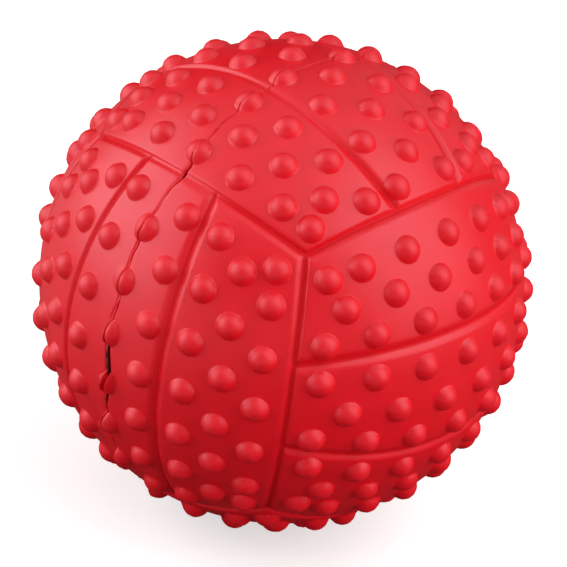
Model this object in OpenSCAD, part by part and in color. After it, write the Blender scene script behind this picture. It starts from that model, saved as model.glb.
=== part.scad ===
// Hollow rubber fetch ball: two moulded half shells bonded on the plane X = 0.
// The skin is laid out like a volleyball: six faces, each of three strips, with a groove along every
// face edge and between strips, and rows of domed nubs on the strips. The origin is the centre of the ball.

/* [Ball] */
// Diameter over the tips of the nubs
ball_diameter = 70; // [64:1:90]
// Rubber between the skin and the hollow
wall = 5.5; // [4:0.5:8]

/* [Nubs] */
// Diameter of a nub where it leaves the skin
nub_diameter = 3.8; // [3:0.1:4.2]
// Height of a nub above the skin
nub_height = 1.3; // [1.2:0.1:1.6]
// Skin left between a nub and the groove between two strips
nub_divider_gap = 0.5; // [0.1:0.05:0.6]
// Skin left between a nub and the face edge beside its row
nub_edge_gap = 1.5; // [0.4:0.05:1.8]
// Skin left between the last nub of a row and the face edge ahead of it
nub_end_gap = 0.95; // [0.4:0.05:1.2]

/* [Grooves] */
// Width of a groove at the skin
groove_width = 1.7; // [1.4:0.1:2]
// Depth of a face edge groove below the skin
groove_depth = 0.6; // [0.4:0.05:0.8]
// How much shallower the grooves between strips are
divider_rise = 0.05; // [0.05:0.05:0.2]
// Angle from the middle of a face to the groove beside its middle strip
divider_angle = 15.4; // [14:0.2:16]

/* [Bond] */
// Thickness of the bond between the two half shells
bond_thickness = 0.4; // [0.2:0.1:1]
// Height of the squeezed-out fin over the skin
fin_height = 0.35; // [0.2:0.05:0.6]
// Radius of the bead squeezed into the hollow
bead_radius = 0.9; // [0.6:0.1:1.5]

/* [Hidden] */
$fn = 72;
// The bond is a large thin ring, so its circles are finer than the rest
ring_fn = 144;

rubber_red = [0.86, 0.1, 0.14];
bond_red = [0.74, 0.09, 0.12];
skin_radius = ball_diameter / 2 - nub_height;
hollow_radius = skin_radius - wall;

// A dome or a groove is an arc: its radius from its half width and its height or depth
function arc_radius(half_width, height) = (half_width ^ 2 + height ^ 2) / (2 * height);

// Angle at the ball's centre of a length along the skin
function skin_angle(length) = length / skin_radius * 180 / PI;

nub_radius = arc_radius(nub_diameter / 2, nub_height);
nub_centre = skin_radius + nub_height - nub_radius;

// Grooves along face edges are cut by a round tube whose middle runs just above the skin
edge_radius = arc_radius(groove_width / 2, groove_depth);
edge_centre = skin_radius - groove_depth + edge_radius;
divider_depth = groove_depth - divider_rise;
divider_radius = arc_radius(groove_width / 2, divider_depth);
divider_centre = skin_radius - divider_depth + divider_radius;

// Three edge grooves meet at each corner of the layout. They stop just clear of each other, and a round pit
// a little wider and deeper than they are joins their ends.
stop_ratio = 1.15;
pit_width_ratio = 1.28;
pit_depth_ratio = 1.3;
edge_stop = stop_ratio * tan(30) * groove_width / 2;
pit_depth = pit_depth_ratio * groove_depth;
pit_radius = arc_radius(pit_width_ratio * groove_width / 2, pit_depth);
pit_centre = skin_radius - pit_depth + pit_radius;

// A place on a face is a longitude across its strips and a latitude along them, both zero at its middle.
// The edge ahead of a strip lies in a plane at 45 degrees, so the latitude at a given angle from it is:
function latitude_before_edge(longitude, angle) =
    acos(sqrt(2) * sin(angle) / sqrt(1 + cos(longitude) ^ 2)) - atan(1 / cos(longitude));

// Angle from the middle of a groove to the middle of a nub that leaves a gap beside it
function beside_groove(gap) = skin_angle((nub_diameter + groove_width) / 2 + gap);

half_face = 45;
corner_latitude = atan(1 / sqrt(2));
edge_half_angle = corner_latitude - skin_angle(edge_stop);
divider_half_angle = latitude_before_edge(divider_angle, 0);

// Longitudes of the rows of nubs: two beside each divider, one beside the face edge and one between
middle_row = divider_angle - beside_groove(nub_divider_gap);
divider_row = divider_angle + beside_groove(nub_divider_gap);
edge_row = half_face - beside_groove(nub_edge_gap);
between_row = (divider_row + edge_row) / 2;

// Every row has the same number of steps from the middle of the face to its last nub
row_steps = 3;
middle_pitch = latitude_before_edge(middle_row, beside_groove(nub_end_gap)) / row_steps;
outer_pitch = latitude_before_edge(divider_row, beside_groove(nub_end_gap)) / row_steps;
edge_row_end = latitude_before_edge(edge_row, beside_groove(nub_divider_gap));
whole_steps = [-row_steps : row_steps];
inner_steps = [1 - row_steps : row_steps - 1];
half_steps = [0.5 - row_steps : row_steps - 0.5];

// Longitude and latitude of every nub on one face
face_nubs = [
    for (step = half_steps) [0, step * middle_pitch],
    for (side = [-1, 1]) each [
        for (step = whole_steps) [side * middle_row, step * middle_pitch],
        for (step = whole_steps) [side * divider_row, step * outer_pitch],
        for (step = half_steps) [side * between_row, step * outer_pitch],
        for (step = inner_steps) [side * edge_row, step * outer_pitch],
        for (end = [-1, 1]) [side * edge_row, end * edge_row_end]
    ]
];

// Direction from the ball's centre of a place on the face that looks along Y, whose strips run along Z
function direction(place) = [
    cos(place[1]) * sin(place[0]),
    cos(place[1]) * cos(place[0]),
    sin(place[1])
];

// The layout repeats by thirds of a turn about the diagonal, which move X to Y, Y to Z and Z to X
function turned(p, turns) = turns == 0 ? p : turned([p.z, p.x, p.y], turns - 1);
module turned(turns) {
    rotate(120 * turns, [1, 1, 1])
        children();
}

nub_directions = [
    for (turns = [0 : 2], way = [-1, 1], place = face_nubs) way * turned(direction(place), turns)
];

// Longitudes of the grooves whose planes hold the Z axis, before the layout is turned
edge_longitudes = [for (quarter = [0 : 3]) half_face + 90 * quarter];
divider_longitudes = [for (face = [0, 180], side = [-1, 1]) face + side * divider_angle];

// The half shell is drawn on the -X side. What lies on the joint plane is cut through by it.
joint_tolerance = 0.001;
function on_half(p) = p.x < joint_tolerance;
function on_joint(p) = abs(p.x) < joint_tolerance;

// Arc of a round tube through the direction of a longitude, reaching as far to each end along Z
module tube_arc(longitude, centre, radius, half_angle) {
    rotate([90, 0, 90 - longitude])
        rotate(-half_angle)
            rotate_extrude(angle = 2 * half_angle)
                translate([centre, 0])
                    circle(radius);
}

// Cutters for the grooves and corner pits of the half shell
module groove_cutters() {
    for (turns = [0 : 2])
        turned(turns) {
            for (longitude = edge_longitudes)
                if (on_half(turned(direction([longitude, 0]), turns)))
                    tube_arc(longitude, edge_centre, edge_radius, edge_half_angle);
            for (longitude = divider_longitudes)
                if (on_half(turned(direction([longitude, 0]), turns)))
                    tube_arc(longitude, divider_centre, divider_radius, divider_half_angle);
        }
    for (longitude = edge_longitudes, latitude = [-corner_latitude, corner_latitude])
        let (corner = direction([longitude, latitude]))
            if (on_half(corner))
                translate(pit_centre * corner)
                    sphere(pit_radius);
}

// One moulding makes both halves: a hollow grooved dome, cut flat at the bond. Its nubs stand over the
// grooves where the strips narrow towards their ends.
module half_shell() {
    difference() {
        union() {
            difference() {
                sphere(skin_radius);
                groove_cutters();
            }
            for (p = nub_directions)
                if (on_half(p))
                    translate(nub_centre * p)
                        sphere(nub_radius);
        }
        sphere(hollow_radius);
        translate([ball_diameter - bond_thickness / 2, 0, 0])
            cube(2 * ball_diameter, center = true);
    }
}

module left_half_shell() {
    color(rubber_red)
        half_shell();
}

module right_half_shell() {
    color(rubber_red)
        rotate(180)
            half_shell();
}

// Outline of the bond on the joint plane: the skin, nubs and grooves that meet there, grown by the fin
module fin_outline() {
    difference() {
        union() {
            circle(skin_radius + fin_height);
            for (p = nub_directions)
                if (on_joint(p))
                    translate(nub_centre * [p.y, p.z])
                        circle(nub_radius + fin_height);
        }
        for (longitude = edge_longitudes)
            rotate(longitude)
                translate([edge_centre, 0])
                    circle(edge_radius - fin_height);
        for (longitude = divider_longitudes)
            rotate(90 + longitude)
                translate([divider_centre, 0])
                    circle(divider_radius - fin_height);
    }
}

module seam_bond() {
    $fn = ring_fn;
    color(bond_red)
        rotate([90, 0, 90]) {
            linear_extrude(bond_thickness, center = true)
                difference() {
                    fin_outline();
                    circle(hollow_radius - bead_radius / 2);
                }
            intersection() {
                rotate_extrude()
                    translate([hollow_radius, 0])
                        circle(bead_radius);
                sphere(hollow_radius);
            }
        }
}

left_half_shell();
right_half_shell();
seam_bond();
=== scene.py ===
import math
import bpy
import numpy as np
from mathutils import Matrix, Vector


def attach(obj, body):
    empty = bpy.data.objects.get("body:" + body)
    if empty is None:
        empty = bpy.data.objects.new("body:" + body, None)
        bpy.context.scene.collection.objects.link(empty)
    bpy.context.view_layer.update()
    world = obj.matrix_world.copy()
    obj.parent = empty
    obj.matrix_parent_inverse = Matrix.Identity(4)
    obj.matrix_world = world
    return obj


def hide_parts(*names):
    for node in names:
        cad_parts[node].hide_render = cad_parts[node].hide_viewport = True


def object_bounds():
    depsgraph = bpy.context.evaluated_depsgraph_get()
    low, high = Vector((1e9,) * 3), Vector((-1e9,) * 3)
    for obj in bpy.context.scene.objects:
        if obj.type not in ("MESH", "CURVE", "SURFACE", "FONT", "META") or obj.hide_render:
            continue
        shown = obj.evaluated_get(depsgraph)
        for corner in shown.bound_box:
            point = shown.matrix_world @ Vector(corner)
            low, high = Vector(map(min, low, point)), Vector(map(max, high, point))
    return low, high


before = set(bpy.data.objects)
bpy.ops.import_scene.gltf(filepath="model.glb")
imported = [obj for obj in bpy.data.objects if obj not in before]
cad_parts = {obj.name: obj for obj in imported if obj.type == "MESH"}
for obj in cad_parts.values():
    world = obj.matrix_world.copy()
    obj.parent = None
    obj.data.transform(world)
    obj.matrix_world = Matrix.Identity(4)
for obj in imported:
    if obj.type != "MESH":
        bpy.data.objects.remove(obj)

cad_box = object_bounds()

# The two half shells
# One moulding of solid red rubber makes both halves of the ball. Domed nubs stand on its strips, which narrow
# grooves with rolled edges part. The halves butt on the plane X = 0, where the bond holds them.
mm = 0.001
skin_radius = 33.7 * mm
hollow_radius = 28.2 * mm
half_face = math.radians(45)
divider_angle = math.radians(15.4)
# The top and bottom faces came out a little smaller than the other four
panel_draw = np.array([1, 1, 0.96])
# Keeps a length that is divided by from being nought
tiny = 1e-9


def unit(vectors):
    """The same directions at length 1"""
    return vectors / np.linalg.norm(vectors, axis=1, keepdims=True)


# The mesh starts as a cube cut into squares, each side of which becomes a face of the panel layout. These are
# its lines across half a face, as lengths along the skin: close together at the joint and in the grooves.
groove_lines = np.array([0, 0.22, 0.32, 0.42, 0.6, 0.82, 1.05, 1.3]) * mm
groove_zone = groove_lines[-1]
joint_lines = np.array([0, 0.15, 0.35, 0.62]) * mm
divider_place = divider_angle * skin_radius
edge_place = half_face * skin_radius
middle_cells = 20
outer_cells = 44
lines = np.concatenate([
    joint_lines,
    np.linspace(joint_lines[-1], divider_place - groove_zone, middle_cells + 1)[1:-1],
    divider_place - groove_lines[::-1],
    divider_place + groove_lines[1:],
    np.linspace(divider_place + groove_zone, edge_place - groove_zone, outer_cells + 1)[1:-1],
    edge_place - groove_lines[::-1],
])
cube_cuts = (10, 15)


def spread(own, other):
    """Widens the lines beside a groove as they draw together towards the ends of a face"""
    latitude = np.arctan(np.tan(other) * np.cos(own))
    outer_middle = (divider_place + edge_place) / 2
    places = [0, divider_place - groove_zone, divider_place + groove_zone, outer_middle,
              edge_place - groove_zone, edge_place]
    shifts = [0, -groove_zone, groove_zone, 0, -groove_zone, 0]
    shift = np.interp(np.abs(own) * skin_radius, places, shifts) / skin_radius
    room = np.clip((half_face - np.abs(other)) * skin_radius / groove_zone - 1, 0, 1)
    return own + np.sign(own) * shift * (1 / np.cos(latitude) - 1) * room


def layout_directions(cube):
    """Directions on the ball of places on the cube, whose coordinates run from -1 to 1"""
    angle = np.interp(np.abs(cube) * (lines.size - 1), np.arange(lines.size), lines) / skin_radius
    angle *= np.sign(cube)
    row = np.arange(len(cube))
    face = np.argmax(np.abs(cube), axis=1)
    across, along = (face + 2) % 3, (face + 1) % 3
    made = np.empty_like(cube)
    made[row, face] = np.sign(cube[row, face])
    made[row, across] = np.tan(spread(angle[row, across], angle[row, along]))
    made[row, along] = np.tan(spread(angle[row, along], angle[row, across]))
    return unit(made / panel_draw)


# The nubs: places on one face as a longitude across its strips and a latitude along them
nub_diameter = 3.8 * mm
nub_height = 1.3 * mm
groove_width = 1.7 * mm
nub_divider_gap = 0.5 * mm
nub_edge_gap = 1.5 * mm
nub_end_gap = 0.95 * mm
row_steps = 3


def before_edge(longitude, angle):
    """Latitude at which a strip comes within an angle of the face edge ahead of it"""
    tilt = math.sqrt(2) * math.sin(angle) / math.sqrt(1 + math.cos(longitude) ** 2)
    return math.acos(tilt) - math.atan(1 / math.cos(longitude))


def beside_groove(gap):
    """Angle from the middle of a groove to the middle of a nub beside it"""
    return ((nub_diameter + groove_width) / 2 + gap) / skin_radius


middle_row = divider_angle - beside_groove(nub_divider_gap)
divider_row = divider_angle + beside_groove(nub_divider_gap)
edge_row = half_face - beside_groove(nub_edge_gap)
between_row = (divider_row + edge_row) / 2
middle_pitch = before_edge(middle_row, beside_groove(nub_end_gap)) / row_steps
outer_pitch = before_edge(divider_row, beside_groove(nub_end_gap)) / row_steps
edge_row_end = before_edge(edge_row, beside_groove(nub_divider_gap))
whole_steps = np.arange(-row_steps, row_steps + 1)
half_steps = whole_steps[:-1] + 0.5
face_nubs = [(0, step * middle_pitch) for step in half_steps]
for side in (-1, 1):
    face_nubs += [(side * middle_row, step * middle_pitch) for step in whole_steps]
    face_nubs += [(side * divider_row, step * outer_pitch) for step in whole_steps]
    face_nubs += [(side * between_row, step * outer_pitch) for step in half_steps]
    face_nubs += [(side * edge_row, step * outer_pitch) for step in whole_steps[1:-1]]
    face_nubs += [(side * edge_row, end * edge_row_end) for end in (-1, 1)]
longitude, latitude = np.array(face_nubs).T
one_face = np.stack([np.cos(latitude) * np.sin(longitude),
                     np.cos(latitude) * np.cos(longitude),
                     np.sin(latitude)], axis=1)
nub_axes = np.concatenate([way * np.roll(one_face, turn, axis=1) for turn in range(3) for way in (-1, 1)])

# No two cavities in the mould are quite alike: each nub is a little out of place and out of height. Those
# that lie across the joint stay on it.
joint_tolerance = 1e-6
nub_stray = 0.07 * mm / skin_radius
nub_uneven = 0.025
draw = np.random.default_rng(7)
stray = draw.normal(0, nub_stray, nub_axes.shape)
stray[np.abs(nub_axes[:, 0]) < joint_tolerance, 0] = 0
nub_axes = unit(nub_axes + stray)
nub_growth = 1 + draw.normal(0, nub_uneven, len(nub_axes))

# The lower strip of the right-hand face sits a little high: places up that face, and the lift of the nubs
# there, all in degrees
lift_places = [-45, -15, -8, 0]
lift_angles = [1.3, 1.5, 0.8, 0]
on_face = nub_axes[:, 0] > np.max(np.abs(nub_axes[:, 1:]), axis=1)
forward, upward = nub_axes[:, 0].copy(), nub_axes[:, 2].copy()
climb = np.degrees(np.arctan2(upward, forward))
lift = np.radians(np.interp(climb, lift_places, lift_angles)) * on_face
nub_axes[:, 0] = forward * np.cos(lift) - upward * np.sin(lift)
nub_axes[:, 2] = forward * np.sin(lift) + upward * np.cos(lift)

# The outline of a nub from its tip to the skin: a dome, then a small fillet at its root. The mesh is moved
# along it so that the steep side and the fillet have their share of faces.
nub_fillet = 0.02 * mm
root_margin = 0.03 * mm
dome_steps = 60
fillet_steps = 30
fillet_share = 24
nub_radius = ((nub_diameter / 2) ** 2 + nub_height ** 2) / (2 * nub_height)
dome_middle = nub_height - nub_radius
fillet_foot = math.sqrt((nub_radius + nub_fillet) ** 2 - (nub_fillet - dome_middle) ** 2)
steepest = math.acos((nub_fillet - dome_middle) / (nub_radius + nub_fillet))
nub_reach = fillet_foot + root_margin
dome_slope = np.linspace(0, steepest, dome_steps)
fillet_slope = np.linspace(steepest, 0, fillet_steps)[1:]
outline_foot = np.concatenate([nub_radius * np.sin(dome_slope),
                               fillet_foot - nub_fillet * np.sin(fillet_slope), [nub_reach]])
outline_rise = np.concatenate([dome_middle + nub_radius * np.cos(dome_slope),
                               nub_fillet * (1 - np.cos(fillet_slope)), [0]])
weight = np.where(np.arange(outline_foot.size - 1) < dome_steps - 1, 1, fillet_share)
stretch = np.hypot(np.diff(outline_foot), np.diff(outline_rise)) * weight
outline_share = np.concatenate([[0], np.cumsum(stretch)])
outline_share /= outline_share[-1]

# A groove has a narrow flat bottom, and its edges roll over into the strips, less far on the left half
groove_depth = 0.56 * mm
divider_depth = 0.52 * mm
pit_depth = 0.35 * mm
edge_run = 1.0 * mm
divider_run = 0.9 * mm
bottom_half = 0.2 * mm
corner_round = 0.04 * mm
edge_roll = 1.6
left_run_share = 0.58
left_depth_share = 0.95
meeting_power = 4


def groove_cut(distance, run, depth, side):
    """Depth of a groove at a distance from its middle"""
    if side < 0:
        run, depth = left_run_share * run, left_depth_share * depth
    up_wall = distance - bottom_half
    up_wall = (up_wall + np.sqrt(up_wall ** 2 + corner_round ** 2)) / 2
    return depth * (1 - np.minimum(up_wall / run, 1)) ** edge_roll


def deeper(a, b):
    """The deeper of two cuts, run softly into each other where they meet"""
    return (a ** meeting_power + b ** meeting_power) ** (1 / meeting_power)


# Along each face edge one lip is broad and the other sharp. These are shares of the full run: the rows are
# the X, Y and Z faces that have the lip, and the columns the faces beside them.
sharp_lip = 0.45
lip_share = np.array([[1, sharp_lip, 1], [1, 1, 1], [sharp_lip, sharp_lip, 1]])

# The grooves between strips aren't all alike: their angles from the middle of the X, Y and Z faces, on the
# positive side of the face and on the negative one
upper_divider = np.radians([15.5, 14.5, 15.4])
lower_divider = np.radians([13.0, 15.4, 15.4])

# An edge between an X face and a Z face bows a little towards the Z face
edge_bow = 0.02
bow_start = 0.5
bow_length = 0.4


def bowed(directions):
    """1 beside the middle of an edge between an X face and a Z face, 0 away from there"""
    x, y, z = np.abs(directions).T
    beside = np.minimum(x, z) / np.maximum(np.maximum(x, z), tiny)
    middle = 2 - 2 * y / np.maximum(x, tiny)
    return np.clip((beside - bow_start) / bow_length, 0, 1) * np.clip(middle, 0, 1)


# Grooves are shallower where they cross the joint. Those between the strips of a Z face gain their depth over
# a longer way, and those of a Y face don't cross it.
joint_fade = 12 * mm
divider_fade = 20 * mm
joint_depth_share = 0.5
y_face = 1


def grooves(directions, side):
    """Depth of the grooves and corner pits below the skin"""
    row = np.arange(len(directions))
    drawn = directions * panel_draw
    drawn[:, 2] *= 1 - edge_bow * bowed(directions)
    drawn = unit(drawn)
    size = np.abs(drawn)
    face = np.argmax(size, axis=1)
    first, second = (face + 2) % 3, (face + 1) % 3
    out, across, along = size[row, face], size[row, first], size[row, second]
    edge = np.arcsin((out - np.maximum(across, along)) / math.sqrt(2)) * skin_radius
    slant = np.where(drawn[row, first] > 0, upper_divider[face], lower_divider[face])
    divider = np.abs(np.arcsin(across * np.cos(slant) - out * np.sin(slant))) * skin_radius
    corner = np.arccos(np.minimum(size.sum(axis=1) / math.sqrt(3), 1)) * skin_radius
    by_divider = divider < edge
    away = np.clip(size[:, 0] * skin_radius / np.where(by_divider, divider_fade, joint_fade), 0, 1)
    away = np.where(by_divider & (face == y_face), 1, away)
    fade = joint_depth_share + (1 - joint_depth_share) * away ** 2 * (3 - 2 * away)
    lip = edge_run * lip_share[face, np.where(across > along, first, second)]
    cut = deeper(groove_cut(edge, lip, groove_depth * fade, side),
                 groove_cut(divider, divider_run, divider_depth * fade, side))
    return deeper(cut, groove_cut(corner, edge_run, pit_depth, side))


# The joint line isn't straight: it wanders, its two lips roll in, and on a few stretches the right-hand
# lip has sprung away from the bond. Angles run round the joint from the -Y side upwards.
def ripple(angle, seed, slowest, quickest):
    """Seeded waves round the joint, of about unit height"""
    chance = np.random.default_rng(seed)
    counts = np.arange(slowest, quickest + 1)
    heights = chance.normal(0, 1, counts.size)
    heights *= math.sqrt(2 / np.sum(heights ** 2))
    phases = chance.uniform(0, 2 * math.pi, counts.size)
    return np.cos(np.outer(angle, counts) + phases) @ heights


def hump(angle, middle, half_length):
    """1 at a place on the joint, falling to 0 beyond a length to each side of it, all in degrees"""
    away = (np.degrees(angle) - middle + 180) % 360 - 180
    return np.exp(-(away / half_length) ** 2)


def joint_angle(points):
    """Angle round the joint of places on the ball"""
    return np.arctan2(points[:, 2], -points[:, 1])


slow_wander = 0.16 * mm
quick_wander = 0.05 * mm


def joint_wander(angle):
    """How far the joint line lies from the plane X = 0"""
    slow = ripple(angle, seed=11, slowest=4, quickest=22)
    quick = ripple(angle, seed=12, slowest=30, quickest=90)
    return slow_wander * slow + quick_wander * quick


# Stretches of the joint: the middle and half length in degrees, and how far a sprung lip stands off, in
# millimetres
wide_stretches = [(15, 35), (160, 30), (-120, 25)]
sprung_stretches = [(-4, 9, 0.7), (47, 2.5, 0.25), (150, 9, 0.3), (-120, 7, 0.35)]
bond_half = 0.08 * mm
bond_ripple = 0.02 * mm
bond_swell = 0.12 * mm
bond_least = 0.05 * mm


def bond_room(angle, side):
    """How far the bond reaches to one side of its middle"""
    room = bond_half + bond_ripple * ripple(angle, seed=13 + side, slowest=12, quickest=60)
    for middle, half_length in wide_stretches:
        room += bond_swell * hump(angle, middle, half_length)
    return np.maximum(room, bond_least)


def joint_opening(angle, side):
    """How far a half's rim stands from the middle of the bond"""
    opening = bond_room(angle, side)
    if side > 0:
        for middle, half_length, width in sprung_stretches:
            opening += width * mm * hump(angle, middle, half_length)
    return opening


# The worst stretch of the left rim: its middle and half length in degrees, and how its nubs lack rubber
unfilled_middle = -8
unfilled_length = 36
unfilled_rise = 1.5
unfilled_most = 0.97


def unfilled(axis):
    """Share of a nub that the left half lacks: it didn't fill those it shares on the worst stretch"""
    worst = np.minimum(unfilled_rise * hump(joint_angle(axis), unfilled_middle, unfilled_length), 1)
    return np.where(np.abs(axis[:, 0]) < joint_tolerance, unfilled_most * worst, 0)


# A groove that runs into a nub ends at its side
groove_end = 0.9 * nub_diameter / 2
search_blocks = 16


def moulded(directions, side=1):
    """Places on the outside of the ball, with its nubs and grooves, in about the given directions"""
    blocks = np.array_split(directions, search_blocks)
    nearest = np.concatenate([np.argmax(block @ nub_axes.T, axis=1) for block in blocks])
    axis = nub_axes[nearest]
    aside = directions - np.sum(directions * axis, axis=1, keepdims=True) * axis
    length = np.linalg.norm(aside, axis=1)
    aside /= np.maximum(length, tiny)[:, None]
    share = np.minimum(length * skin_radius / nub_reach, 1)
    foot = np.where(share < 1, np.interp(share, outline_share, outline_foot), length * skin_radius)
    rise = np.interp(share, outline_share, outline_rise) * nub_growth[nearest]
    if side < 0:
        rise *= 1 - unfilled(axis)
    base = axis * np.sqrt(skin_radius ** 2 - foot ** 2)[:, None] + aside * foot[:, None]
    base /= skin_radius
    open_share = np.clip((foot - groove_end) / (fillet_foot - groove_end), 0, 1)
    return base * (skin_radius - grooves(base, side) * open_share)[:, None] + axis * rise[:, None]


wander_band = 2.2 * mm
give_band = 1.6 * mm
lip_band = 0.3 * mm
lip_drop = 0.12 * mm
drop_share = 0.5
rim_back = 0.2 * mm
crease = math.radians(62)
for side, name in ((-1, "left_moulding"), (1, "right_moulding")):
    bpy.ops.object.select_all(action="DESELECT")
    bpy.ops.mesh.primitive_cube_add(size=2 * skin_radius)
    shell = bpy.context.object
    shell.name = shell.data.name = name
    bpy.ops.object.mode_set(mode="EDIT")
    for cuts in cube_cuts:
        bpy.ops.mesh.subdivide(number_cuts=cuts)
    bpy.ops.mesh.bisect(plane_co=(0, 0, 0), plane_no=(side, 0, 0), clear_inner=True)
    bpy.ops.object.mode_set(mode="OBJECT")
    places = np.empty(3 * len(shell.data.vertices))
    shell.data.vertices.foreach_get("co", places)
    places = moulded(layout_directions(places.reshape(-1, 3) / skin_radius), side)
    near = np.abs(places[:, 0]) < wander_band
    angle = joint_angle(places[near])
    from_joint = np.abs(places[near, 0])
    fade = 1 - from_joint / wander_band
    roll = np.clip(1 - from_joint / lip_band, 0, 1) ** 2
    opening = joint_opening(angle, side)
    radial = unit(places[near] * [0, 1, 1])
    places[near] -= radial * (roll * np.minimum(drop_share * opening, lip_drop))[:, None]
    places[near, 0] += side * opening * np.clip(1 - from_joint / give_band, 0, 1)
    places[near, 0] += joint_wander(angle) * fade
    shell.data.vertices.foreach_set("co", places.ravel())
    bpy.ops.object.mode_set(mode="EDIT")
    bpy.ops.mesh.select_all(action="DESELECT")
    bpy.ops.mesh.primitive_uv_sphere_add(segments=64, ring_count=32, radius=hollow_radius,
                                         rotation=(0, math.pi / 2, 0))
    bpy.ops.mesh.bisect(plane_co=(side * rim_back, 0, 0), plane_no=(side, 0, 0), clear_inner=True)
    bpy.ops.mesh.select_all(action="DESELECT")
    bpy.ops.mesh.select_non_manifold()
    bpy.ops.mesh.bridge_edge_loops()
    bpy.ops.mesh.select_all(action="SELECT")
    bpy.ops.mesh.normals_make_consistent(inside=False)
    bpy.ops.object.mode_set(mode="OBJECT")
    bpy.ops.object.shade_smooth_by_angle(angle=crease)


class Wire:
    """A shader socket that can stand in a sum"""

    def __init__(self, tree, socket=None):
        self.tree, self.socket = tree, socket

    def node(self, kind, settings, inputs, output=0):
        """A new node with its settings and the values or links of its sockets"""
        made = self.tree.nodes.new(kind)
        for key, value in settings.items():
            setattr(made, key, value)
        for key, value in inputs.items():
            if isinstance(value, Wire):
                self.tree.links.new(value.socket, made.inputs[key])
            else:
                made.inputs[key].default_value = value
        return Wire(self.tree, made.outputs[output])

    def sum(self, operation, a, b):
        return self.node("ShaderNodeMath", {"operation": operation}, {0: a, 1: b})

    def __add__(self, other):
        return self.sum("ADD", self, other)

    __radd__ = __add__

    def __sub__(self, other):
        return self.sum("SUBTRACT", self, other)

    def __rsub__(self, other):
        return self.sum("SUBTRACT", other, self)

    def __mul__(self, other):
        return self.sum("MULTIPLY", self, other)

    __rmul__ = __mul__

    def between(self, low, high):
        """0 at the low value and 1 at the high one, with soft ends"""
        return self.node("ShaderNodeMapRange", {"interpolation_type": "SMOOTHSTEP"},
                         {"Value": self, "From Min": low, "From Max": high})


def new_finish(name):
    """A material, its shader and the place on the piece"""
    finish = bpy.data.materials.new(name)
    finish.use_nodes = True
    tree = finish.node_tree
    place = Wire(tree).node("ShaderNodeTexCoord", {}, {}, "Object")
    return finish, tree.nodes["Principled BSDF"], place


def feed(wire, socket):
    wire.tree.links.new(wire.socket, socket)


def noise(place, scale, detail):
    return place.node("ShaderNodeTexNoise", {}, {"Vector": place, "Scale": scale, "Detail": detail})


def mixed(share, colour, other):
    """A colour that turns into another one by a share of 0 to 1"""
    return share.node("ShaderNodeMix", {"data_type": "RGBA"}, {0: share, 6: colour, 7: other}, 2)


def along_heading(place, heading):
    """How far a place lies along a heading"""
    return place.node("ShaderNodeVectorMath", {"operation": "DOT_PRODUCT"}, {0: place, 1: heading}, "Value")


def over_skin(place, low, high):
    """0 at a low level over the skin and 1 at a high one. Levels below the skin are negative."""
    height = place.node("ShaderNodeVectorMath", {"operation": "LENGTH"}, {0: place}, "Value")
    return height.between(skin_radius + low, skin_radius + high)


# Painted shade darkens the joint where it gapes widest. It thins out between 9 and 13 degrees from the
# middle.
gap_shade_colour = (0.07, 0.012, 0.006, 1)
widest_gap = math.radians(sprung_stretches[0][0])
gap_end = math.cos(math.radians(13))
gap_full = math.cos(math.radians(9))


def open_stretch(place):
    """1 where the joint gapes widest, 0 away from there"""
    heading = (0, -math.cos(widest_gap) / skin_radius, math.sin(widest_gap) / skin_radius)
    return along_heading(place, heading).between(gap_end, gap_full)


# The rubber is satin red, a little clouded. The nub tips are worn pale in specks, partly wear and partly a
# painted highlight. The bottoms of the grooves are matt and darker, a painted shade.
red = (0.81, 0.003, 0.011, 1)
pale_red = (0.82, 0.010, 0.020, 1)
deep_red = (0.78, 0.002, 0.009, 1)
# Painted shade for the groove bottoms: its darker red and how much of it is mixed in
groove_shade_red = (0.66, 0.008, 0.013, 1)
groove_shade_share = 0.78
shell_rubber, shader, place = new_finish("shell_rubber")
nub = over_skin(place, 0.1 * mm, 0.6 * mm)
tip = over_skin(place, 0.6 * mm, nub_height)
cloud = noise(place, 110, 3.0)
speck = noise(place, 900, 3.0)
grain = noise(place, 5200, 2.0)
body = mixed(cloud.between(0.35, 0.7), deep_red, red)
# Pale specks on the nub tips: partly wear, partly a painted highlight
worn_and_highlight = mixed(tip * speck.between(0.4, 0.75), body, pale_red)
# Painted shade: near black down in the joint where it gapes widest
gap_shade_mask = open_stretch(place) * (1 - over_skin(place, -0.3 * mm, -0.14 * mm))
feed(mixed(gap_shade_mask, worn_and_highlight, gap_shade_colour), shader.inputs["Base Color"])
roughness = 0.33 + 0.12 * cloud + 0.08 * speck + 0.06 * nub
feed(roughness, shader.inputs["Roughness"])
shader.inputs["Specular IOR Level"].default_value = 0.75
shader.inputs["Specular Tint"].default_value = (1, 0.87, 1, 1)
texture = place.node("ShaderNodeBump", {}, {"Strength": 0.35, "Distance": 0.04 * mm,
                                            "Height": 0.6 * speck + 0.4 * grain})
feed(texture, shader.inputs["Normal"])
# Painted shade: the groove bottoms turn to a darker, matt red
painted_groove_shade = (1 - over_skin(place, -0.5 * mm, -0.36 * mm)) * (1 - gap_shade_mask)
shade_diffuse = place.node("ShaderNodeBsdfDiffuse", {}, {"Color": groove_shade_red})
satin = Wire(place.tree, shader.outputs[0])
rubber = place.node("ShaderNodeMixShader", {}, {0: groove_shade_share * painted_groove_shade, 1: satin, 2: shade_diffuse})
feed(rubber, place.tree.nodes["Material Output"].inputs["Surface"])
for name, node in (("left_moulding", "left_half_shell"), ("right_moulding", "right_half_shell")):
    shell = bpy.data.objects[name]
    shell.data.materials.append(shell_rubber)
    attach(shell, "root")
    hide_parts(node)

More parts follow.
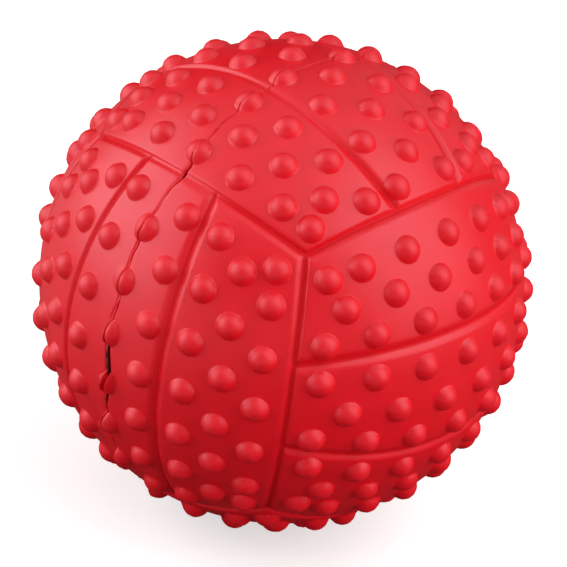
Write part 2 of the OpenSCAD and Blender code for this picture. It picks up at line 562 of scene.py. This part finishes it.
# The bond
# A thin ring of cured rubber cement between the butt edges of the halves. What was squeezed out stands over
# the joint as a ragged fin, and a bead of it runs round the inside.
stations = 2000
ring_points = 14
sweep_steps = 40001
sweep = np.linspace(-math.pi, math.pi, sweep_steps)
outline = moulded(np.stack([np.zeros_like(sweep), -np.cos(sweep), np.sin(sweep)], axis=1))[:, 1:]
run = np.concatenate([[0], np.cumsum(np.linalg.norm(np.diff(outline, axis=0), axis=1))])
even = np.linspace(0, run[-1], stations, endpoint=False)
line = np.stack([np.interp(even, run, outline[:, k]) for k in range(2)], axis=1)
ahead = unit(np.roll(line, -2, axis=0) - np.roll(line, 2, axis=0))
angle = np.arctan2(line[:, 1], -line[:, 0])
outward = unit(line)
square = np.stack([ahead[:, 1], -ahead[:, 0]], axis=1)
square *= np.sign(np.sum(square * outward, axis=1, keepdims=True))
wander = joint_wander(angle)

# The fin's height over the skin and its lean to one side, in millimetres. It is low where the lip has sprung
# far off, and it has torn into tags at the given places, which are in degrees with their half lengths.
fin_mean, fin_slow, fin_quick = 0.03, 0.05, 0.04
fin_least, fin_most = -0.08, 0.2
fin_lean = 0.05
sprung_fin, sprung_loss = 0.2, 0.6
tag_rise, tag_lean = 0.15, 0.45
torn_tags = [(-4.5, 0.9), (-19, 0.9), (-32, 1.1), (96, 1.0), (171, 1.2), (-101, 0.9)]
fin = (fin_mean + fin_slow * ripple(angle, seed=21, slowest=8, quickest=40)
       + fin_quick * ripple(angle, seed=22, slowest=60, quickest=160))
fin = np.clip(fin, fin_least, fin_most) * mm
lean = fin_lean * mm * ripple(angle, seed=24, slowest=15, quickest=70)
for middle, half_length, width in sprung_stretches:
    fin += (sprung_fin - sprung_loss * width) * mm * hump(angle, middle, half_length)
for middle, half_length in torn_tags:
    fin += tag_rise * mm * hump(angle, middle, half_length)
    lean -= tag_lean * mm * hump(angle, middle, half_length)

# A grid is rolled up into the ring. Its lines run from the tip of the fin down the right side, round the bead
# and up the left side.
bpy.ops.object.select_all(action="DESELECT")
bpy.ops.mesh.primitive_grid_add(x_subdivisions=ring_points, y_subdivisions=stations, size=2 * skin_radius)
bond = bpy.context.object
bond.name = bond.data.name = "joint_bond"
ring = np.empty((stations, ring_points, 3))
below = 0.5 * mm
slack = 0.01 * mm
fin_dip = 0.02 * mm
inner_wall = hollow_radius + 0.3 * mm
bead_depth = 0.6 * mm
bead_half = 0.8 * mm


def set_ring(index, sideways, level):
    """Places one line of the ring, a height above the outline and a distance to one side"""
    ring[:, index, 0] = wander + sideways
    ring[:, index, 1:] = line + square * level[:, None]


def set_inner(index, sideways, radius):
    """Places one line of the ring inside the ball, at a radius and a distance to one side"""
    ring[:, index, 0] = wander + sideways
    ring[:, index, 1:] = outward * radius


# Six lines on each side, at shares of the room there, of the fin's height and lean and of the bead
set_ring(0, lean, fin)
for side, first in ((1, 1), (-1, ring_points - 1)):
    room = bond_room(angle, side) - slack
    set_ring(first, side * 0.55 * room + 0.8 * lean, 0.6 * fin - fin_dip)
    set_ring(first + side, side * room + 0.2 * lean, -np.minimum(drop_share * room, lip_drop))
    set_ring(first + 2 * side, side * room, np.full(stations, -below))
    set_inner(first + 3 * side, side * room, inner_wall)
    set_inner(first + 4 * side, side * bead_half, inner_wall - 0.3 * bead_depth)
    set_inner(first + 5 * side, side * 0.6 * bead_half, inner_wall - 0.8 * bead_depth)
set_inner(ring_points // 2, 0, inner_wall - bead_depth)
rolled_up = np.pad(ring, ((0, 1), (0, 1), (0, 0)), mode="wrap")
bond.data.vertices.foreach_set("co", rolled_up.ravel())
bpy.ops.object.mode_set(mode="EDIT")
bpy.ops.mesh.select_all(action="SELECT")
bpy.ops.mesh.remove_doubles(threshold=0.0001 * mm)
bpy.ops.mesh.normals_make_consistent(inside=False)
bpy.ops.object.mode_set(mode="OBJECT")
bpy.ops.object.shade_smooth_by_angle(angle=crease)

# The cement is clouded, with painted shade darker down in the joint and near black where it gapes widest
cement_red = (0.70, 0.003, 0.010, 1)
cement_pale = (0.80, 0.016, 0.026, 1)
cement_shade_colour = (0.3, 0.003, 0.006, 1)
bond_rubber, shader, place = new_finish("bond_rubber")
cloud = noise(place, 400, 3.0)
speck = noise(place, 2500, 2.0)
cement = mixed(cloud.between(0.4, 0.75), cement_red, cement_pale)
# Painted shade: the cement turns darker down in the joint
shaded = mixed(1 - over_skin(place, -0.45 * mm, -0.12 * mm), cement, cement_shade_colour)
# Painted shade: near black down in the joint where it gapes widest
gap_shade_mask = open_stretch(place) * (1 - over_skin(place, -0.2 * mm, 0.05 * mm))
feed(mixed(gap_shade_mask, shaded, gap_shade_colour), shader.inputs["Base Color"])
feed(0.45 + 0.2 * cloud, shader.inputs["Roughness"])
texture = place.node("ShaderNodeBump", {}, {"Strength": 0.5, "Distance": 0.05 * mm, "Height": speck})
feed(texture, shader.inputs["Normal"])
bond.data.materials.append(bond_rubber)
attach(bond, "root")
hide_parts("seam_bond")

# The stage
# A round white floor that the ball stands on, under a pale ceiling, with a large soft lamp on each side of
# the camera, a faint one behind the ball, and two low fills that leave no glint.
camera_azimuth = math.radians(39.44)
camera_elevation = math.radians(30.09)
camera_roll = math.radians(8.27)
camera_distance = 0.372
level = Vector((math.cos(camera_azimuth), math.sin(camera_azimuth), 0))
floor_level = min(cad_box[0][2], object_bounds()[0][2])
bpy.ops.object.select_all(action="DESELECT")
bpy.ops.mesh.primitive_circle_add(vertices=128, radius=0.78, fill_type="NGON", location=(0, 0, floor_level))
floor = bpy.context.object
floor.name = "floor"

# The floor throws more light on the ball from the left than from the right, and hardly any from in front.
# To the camera it is plain white paper.
front_bounce, left_bounce, right_bounce = 0.06, 0.32, 0.1
bounce_start, bounce_full = 0.02, 0.12
floor_white, shader, place = new_finish("floor_white")
rightward = along_heading(place, level)
bounce = (front_bounce + left_bounce * (0 - rightward).between(bounce_start, bounce_full)
          + right_bounce * rightward.between(bounce_start, bounce_full))
feed(bounce, shader.inputs["Base Color"])
shader.inputs["Roughness"].default_value = 0.9
shader.inputs["Specular IOR Level"].default_value = 0
paper = place.node("ShaderNodeBsdfDiffuse", {}, {"Color": (0.9, 0.9, 0.9, 1)})
glow = place.node("ShaderNodeEmission", {}, {"Strength": 0.5})
white = place.node("ShaderNodeAddShader", {}, {0: paper, 1: glow})
plain = Wire(place.tree, shader.outputs[0])
straight = place.node("ShaderNodeLightPath", {}, {}, "Is Camera Ray")
seen = place.node("ShaderNodeMixShader", {}, {0: straight, 1: plain, 2: white})
feed(seen, place.tree.nodes["Material Output"].inputs["Surface"])
floor.data.materials.append(floor_white)

ceiling_strength = 0.76
world = bpy.data.worlds.new("surroundings")
world.use_nodes = True
bpy.context.scene.world = world
background = world.node_tree.nodes["Background"]
background.inputs["Color"].default_value = (1, 1, 1, 1)
sky = Wire(world.node_tree)
heading = sky.node("ShaderNodeTexCoord", {}, {}, "Generated")
overhead = sky.node("ShaderNodeSeparateXYZ", {}, {0: heading}, "Z").between(0.5, 1.0)
ceiling = ceiling_strength * overhead
straight = sky.node("ShaderNodeLightPath", {}, {}, "Is Camera Ray")
feed(ceiling + straight * (1 - ceiling), background.inputs["Strength"])


def towards(azimuth, elevation):
    """Direction from the ball's middle at an angle round it and an angle up"""
    return Vector((math.sin(azimuth) * math.cos(elevation),
                   -math.cos(azimuth) * math.cos(elevation),
                   math.sin(elevation)))


back = towards(camera_azimuth, camera_elevation)
upright = back.cross(level)
right = level * math.cos(camera_roll) + upright * math.sin(camera_roll)
up = upright * math.cos(camera_roll) - level * math.sin(camera_roll)
turned = Matrix((right, up, back)).transposed().to_4x4()
bpy.ops.object.camera_add(location=back * camera_distance)
camera = bpy.context.object
camera.matrix_world = Matrix.Translation(back * camera_distance) @ turned
camera.data.lens = 169.2
camera.data.sensor_width = 36
camera.data.shift_x = 0.0035
camera.data.shift_y = -0.0041
bpy.context.scene.camera = camera

# Each lamp's angle round from the camera and angle up, in degrees, then its width, height and power
lamp_distance = 0.8
lamps = (("left_lamp", -92, 18, 1.1, 0.8, 7.3),
         ("right_lamp", 75, 40, 0.9, 0.9, 4.5),
         ("rear_lamp", 150, 25, 0.6, 0.6, 0.45),
         ("front_fill", -10, 6, 1.6, 0.3, 3.0),
         ("side_fill", 76, 3, 0.8, 0.2, 3.0))
for name, turn, rise, width, height, power in lamps:
    spot = towards(camera_azimuth + math.radians(turn), math.radians(rise)) * lamp_distance
    bpy.ops.object.light_add(type="AREA", location=spot)
    lamp = bpy.context.object
    lamp.name = name
    lamp.data.shape = "RECTANGLE"
    lamp.data.size = width
    lamp.data.size_y = height
    lamp.data.energy = power
    lamp.visible_glossy = not name.endswith("fill")
    lamp.rotation_mode = "QUATERNION"
    lamp.rotation_quaternion = (-spot).to_track_quat("-Z", "Y")

bpy.context.scene.view_settings.view_transform = "Standard"
